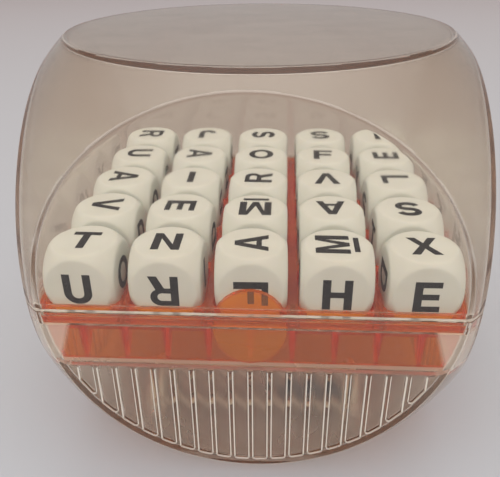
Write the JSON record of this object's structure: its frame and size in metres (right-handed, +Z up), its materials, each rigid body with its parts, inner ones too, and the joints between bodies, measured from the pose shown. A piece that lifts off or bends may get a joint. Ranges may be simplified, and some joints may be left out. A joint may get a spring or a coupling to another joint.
{
  "type": "letter dice word game",
  "caption": "Clear die-shaped case whose dome lifts off an orange tray of cells that hold letter dice, over a base that stores a sand timer.",
  "frame": {"origin": "centre of the case's flat underside", "axes": "+X right and +Z up; the finger tab faces -Y, the front"},
  "size_m": [0.1, 0.1, 0.1],
  "materials": {
    "smoky_clear": "clear smoky brown, polished",
    "orange_clear": "clear orange, polished",
    "ivory": "ivory, satin, printed letters",
    "timer_plastic": "dark brown, satin",
    "timer_glass": "clear",
    "timer_sand": "fine pale sand"
  },
  "bodies": {
    "base": {"base_shell": "smoky_clear"},
    "dome": {"dome_lid": "smoky_clear"},
    "tray": {"letter_tray": "orange_clear"},
    "die_r1c1": {"die_r1c1": "ivory"},
    "die_r1c2": {"die_r1c2": "ivory"},
    "die_r1c3": {"die_r1c3": "ivory"},
    "die_r1c4": {"die_r1c4": "ivory"},
    "die_r1c5": {"die_r1c5": "ivory"},
    "die_r2c1": {"die_r2c1": "ivory"},
    "die_r2c2": {"die_r2c2": "ivory"},
    "die_r2c3": {"die_r2c3": "ivory"},
    "die_r2c4": {"die_r2c4": "ivory"},
    "die_r2c5": {"die_r2c5": "ivory"},
    "die_r3c1": {"die_r3c1": "ivory"},
    "die_r3c2": {"die_r3c2": "ivory"},
    "die_r3c3": {"die_r3c3": "ivory"},
    "die_r3c4": {"die_r3c4": "ivory"},
    "die_r3c5": {"die_r3c5": "ivory"},
    "die_r4c1": {"die_r4c1": "ivory"},
    "die_r4c2": {"die_r4c2": "ivory"},
    "die_r4c3": {"die_r4c3": "ivory"},
    "die_r4c4": {"die_r4c4": "ivory"},
    "die_r4c5": {"die_r4c5": "ivory"},
    "die_r5c1": {"die_r5c1": "ivory"},
    "die_r5c2": {"die_r5c2": "ivory"},
    "die_r5c3": {"die_r5c3": "ivory"},
    "die_r5c4": {"die_r5c4": "ivory"},
    "die_r5c5": {"die_r5c5": "ivory"},
    "timer": {"timer_frame": "timer_plastic", "timer_end_cap": "timer_plastic", "timer_glass": "timer_glass", "timer_sand": "timer_sand"}
  },
  "joints": [
    {"name": "dome_lift", "type": "slide", "parent": "base", "child": "dome", "axis": [0, 0, 1], "range_m": [0, 0.06]},
    {"name": "tray_lift", "type": "slide", "parent": "base", "child": "tray", "axis": [0, 0, 1], "range_m": [0, 0.024]},
    {"name": "timer_lift", "type": "slide", "parent": "base", "child": "timer", "axis": [0, 0, 1], "range_m": [0, 0.012]},
    {"name": "die_r1c1_lift", "type": "slide", "parent": "tray", "child": "die_r1c1", "axis": [0, 0, 1], "range_m": [0, 0.01]},
    {"name": "die_r1c2_lift", "type": "slide", "parent": "tray", "child": "die_r1c2", "axis": [0, 0, 1], "range_m": [0, 0.01]},
    {"name": "die_r1c3_lift", "type": "slide", "parent": "tray", "child": "die_r1c3", "axis": [0, 0, 1], "range_m": [0, 0.01]},
    {"name": "die_r1c4_lift", "type": "slide", "parent": "tray", "child": "die_r1c4", "axis": [0, 0, 1], "range_m": [0, 0.01]},
    {"name": "die_r1c5_lift", "type": "slide", "parent": "tray", "child": "die_r1c5", "axis": [0, 0, 1], "range_m": [0, 0.01]},
    {"name": "die_r2c1_lift", "type": "slide", "parent": "tray", "child": "die_r2c1", "axis": [0, 0, 1], "range_m": [0, 0.01]},
    {"name": "die_r2c2_lift", "type": "slide", "parent": "tray", "child": "die_r2c2", "axis": [0, 0, 1], "range_m": [0, 0.01]},
    {"name": "die_r2c3_lift", "type": "slide", "parent": "tray", "child": "die_r2c3", "axis": [0, 0, 1], "range_m": [0, 0.01]},
    {"name": "die_r2c4_lift", "type": "slide", "parent": "tray", "child": "die_r2c4", "axis": [0, 0, 1], "range_m": [0, 0.01]},
    {"name": "die_r2c5_lift", "type": "slide", "parent": "tray", "child": "die_r2c5", "axis": [0, 0, 1], "range_m": [0, 0.01]},
    {"name": "die_r3c1_lift", "type": "slide", "parent": "tray", "child": "die_r3c1", "axis": [0, 0, 1], "range_m": [0, 0.01]},
    {"name": "die_r3c2_lift", "type": "slide", "parent": "tray", "child": "die_r3c2", "axis": [0, 0, 1], "range_m": [0, 0.01]},
    {"name": "die_r3c3_lift", "type": "slide", "parent": "tray", "child": "die_r3c3", "axis": [0, 0, 1], "range_m": [0, 0.01]},
    {"name": "die_r3c4_lift", "type": "slide", "parent": "tray", "child": "die_r3c4", "axis": [0, 0, 1], "range_m": [0, 0.01]},
    {"name": "die_r3c5_lift", "type": "slide", "parent": "tray", "child": "die_r3c5", "axis": [0, 0, 1], "range_m": [0, 0.01]},
    {"name": "die_r4c1_lift", "type": "slide", "parent": "tray", "child": "die_r4c1", "axis": [0, 0, 1], "range_m": [0, 0.01]},
    {"name": "die_r4c2_lift", "type": "slide", "parent": "tray", "child": "die_r4c2", "axis": [0, 0, 1], "range_m": [0, 0.01]},
    {"name": "die_r4c3_lift", "type": "slide", "parent": "tray", "child": "die_r4c3", "axis": [0, 0, 1], "range_m": [0, 0.01]},
    {"name": "die_r4c4_lift", "type": "slide", "parent": "tray", "child": "die_r4c4", "axis": [0, 0, 1], "range_m": [0, 0.01]},
    {"name": "die_r4c5_lift", "type": "slide", "parent": "tray", "child": "die_r4c5", "axis": [0, 0, 1], "range_m": [0, 0.01]},
    {"name": "die_r5c1_lift", "type": "slide", "parent": "tray", "child": "die_r5c1", "axis": [0, 0, 1], "range_m": [0, 0.01]},
    {"name": "die_r5c2_lift", "type": "slide", "parent": "tray", "child": "die_r5c2", "axis": [0, 0, 1], "range_m": [0, 0.01]},
    {"name": "die_r5c3_lift", "type": "slide", "parent": "tray", "child": "die_r5c3", "axis": [0, 0, 1], "range_m": [0, 0.01]},
    {"name": "die_r5c4_lift", "type": "slide", "parent": "tray", "child": "die_r5c4", "axis": [0, 0, 1], "range_m": [0, 0.01]},
    {"name": "die_r5c5_lift", "type": "slide", "parent": "tray", "child": "die_r5c5", "axis": [0, 0, 1], "range_m": [0, 0.01]}
  ],
  "couplings": [
    {"joint": "tray_lift", "follows": "dome_lift", "ratio": 0.4}
  ]
}
